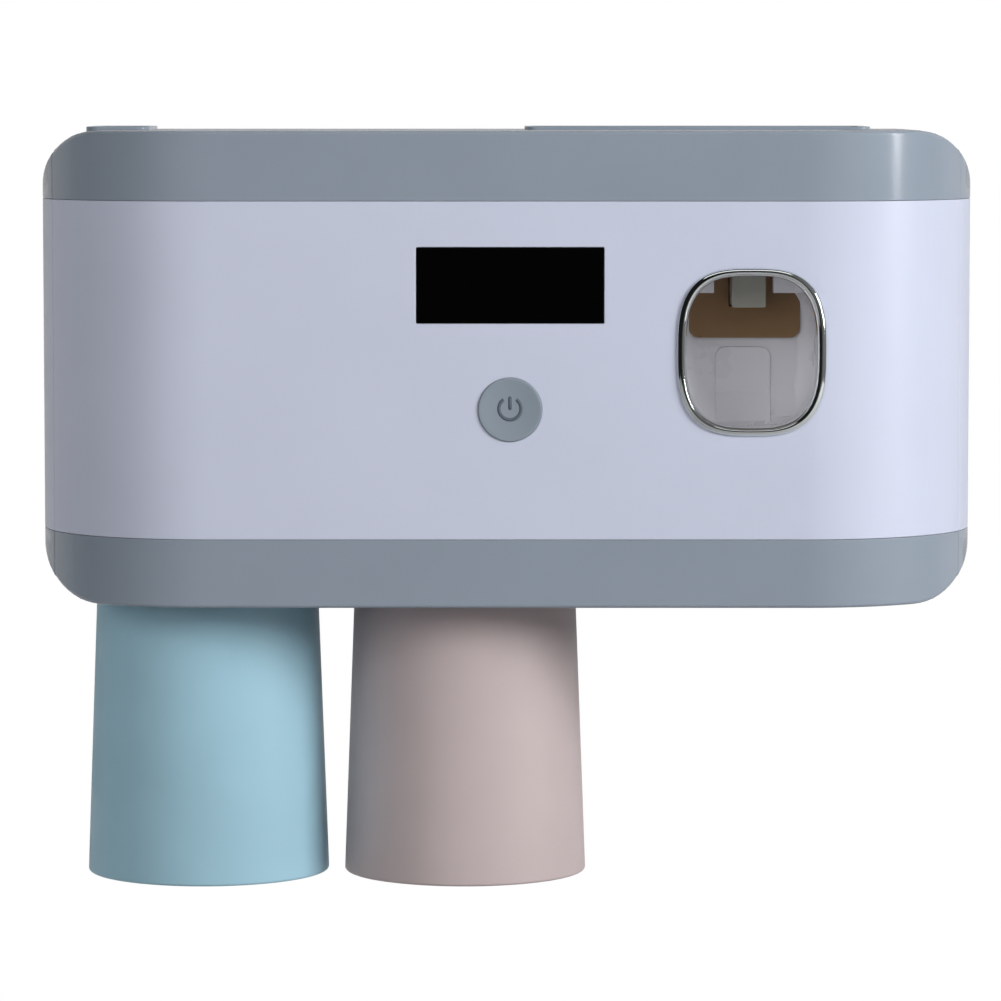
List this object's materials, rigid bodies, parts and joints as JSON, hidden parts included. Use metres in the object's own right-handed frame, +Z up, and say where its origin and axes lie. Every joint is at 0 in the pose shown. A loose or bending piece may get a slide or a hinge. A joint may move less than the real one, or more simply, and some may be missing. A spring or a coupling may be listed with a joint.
{
  "type": "wall-mounted uv toothbrush holder",
  "caption": "Wall-mounted toothbrush holder with a lift-up front cover, a drying bay, a toothpaste dispenser window, a display, a power button and hanging cups.",
  "frame": {"origin": "centre of the adhesive pad's rear face, on the wall, which is also the middle of the housing's width and height", "axes": "+X to the right along the wall, +Y back into the wall, +Z up"},
  "size_m": [0.28, 0.0973, 0.2258],
  "materials": {
    "white_plastic": "satin white ABS moulding with a faint cool tint",
    "grey_plastic": "satin blue-grey ABS moulding",
    "button_grey": "fine matt grey button cap",
    "inner_white": "plain white moulding inside",
    "blue_plastic": "satin pale blue cup",
    "pink_plastic": "satin dusty pink cup",
    "black_gloss": "polished black display window",
    "black_plastic": "black moulding",
    "amber_plastic": "brown light-blocking panel",
    "chrome": "bright plated ring",
    "steel": "zinc-plated steel",
    "magnet_nickel": "nickel-plated magnet",
    "silicone": "translucent silicone",
    "board_green": "solder-masked circuit board",
    "cell_blue": "shrink-wrapped lithium cell",
    "lamp_ceramic": "ceramic lamp package",
    "clear_plastic": "clear lamp cover",
    "lead_red": "insulated lead",
    "pad_foam": "double-sided adhesive foam"
  },
  "bodies": {
    "wall_plate": {"adhesive_pad": "pad_foam", "wall_bracket": "white_plastic"},
    "holder_body": {"rear_housing": "white_plastic", "top_cap": "grey_plastic", "base_cap": "grey_plastic", "brush_rack": "inner_white", "dock_magnet_left": "magnet_nickel", "dock_magnet_right": "magnet_nickel", "magnet_retainer_left": "inner_white", "magnet_retainer_right": "inner_white", "catch_plate_left": "steel", "catch_plate_right": "steel", "hinge_pin_left": "steel", "hinge_pin_right": "steel", "housing_screw_1": "steel", "housing_screw_2": "steel", "housing_screw_3": "steel", "housing_screw_4": "steel", "tube_seat": "grey_plastic", "dispenser_frame": "inner_white", "dispenser_screw_1": "steel", "dispenser_screw_2": "steel", "lever_pin": "steel", "uv_shield": "amber_plastic", "nozzle": "inner_white", "pump_sleeve": "silicone", "inlet_valve": "silicone", "outlet_valve": "silicone", "return_spring": "steel"},
    "front_cover": {"front_panel": "white_plastic", "door_top_band": "grey_plastic", "door_bottom_band": "grey_plastic", "bezel_ring": "chrome", "display_lens": "black_gloss", "display_module": "black_plastic", "control_board": "board_green", "tact_switch": "black_plastic", "battery_cell": "cell_blue", "battery_holder": "black_plastic", "battery_lead_left": "lead_red", "battery_lead_right": "lead_red", "uv_lamp_lead": "lead_red", "uv_lamp_board": "board_green", "uv_lamp_1": "lamp_ceramic", "uv_lamp_2": "lamp_ceramic", "uv_lamp_3": "lamp_ceramic", "uv_lamp_cover": "clear_plastic", "electronics_cover": "inner_white", "cover_screw_1": "steel", "cover_screw_2": "steel", "usb_socket": "steel", "catch_magnet_left": "magnet_nickel", "catch_magnet_right": "magnet_nickel"},
    "button": {"power_button": "button_grey"},
    "lever": {"push_lever": "inner_white"},
    "left_cup": {"blue_cup": "blue_plastic", "blue_cup_disc": "steel"},
    "right_cup": {"pink_cup": "pink_plastic", "pink_cup_disc": "steel"}
  },
  "joints": [
    {"name": "body_lift", "type": "slide", "parent": "wall_plate", "child": "holder_body", "axis": [0, 0, 1], "range_m": [0, 0.01]},
    {"name": "cover_hinge", "type": "hinge", "parent": "holder_body", "child": "front_cover", "pos_m": [0, -0.065, 0.067], "axis": [-1, 0, 0], "range_deg": [0, 90]},
    {"name": "button_press", "type": "slide", "parent": "front_cover", "child": "button", "axis": [0, 1, 0], "range_m": [0, 0.0012], "stiffness_N_per_m": 400, "springref_m": -0.0008},
    {"name": "lever_push", "type": "hinge", "parent": "holder_body", "child": "lever", "pos_m": [0.0708, -0.055, 0.0085], "axis": [1, 0, 0], "range_deg": [0, 12], "stiffness_Nm_per_rad": 0.05, "springref_deg": -11.46, "deforming": ["pump_sleeve", "return_spring"]},
    {"name": "left_cup_pull", "type": "slide", "parent": "holder_body", "child": "left_cup", "axis": [0, 0, -1], "range_m": [0, 0.09]},
    {"name": "right_cup_pull", "type": "slide", "parent": "holder_body", "child": "right_cup", "axis": [0, 0, -1], "range_m": [0, 0.09]}
  ]
}
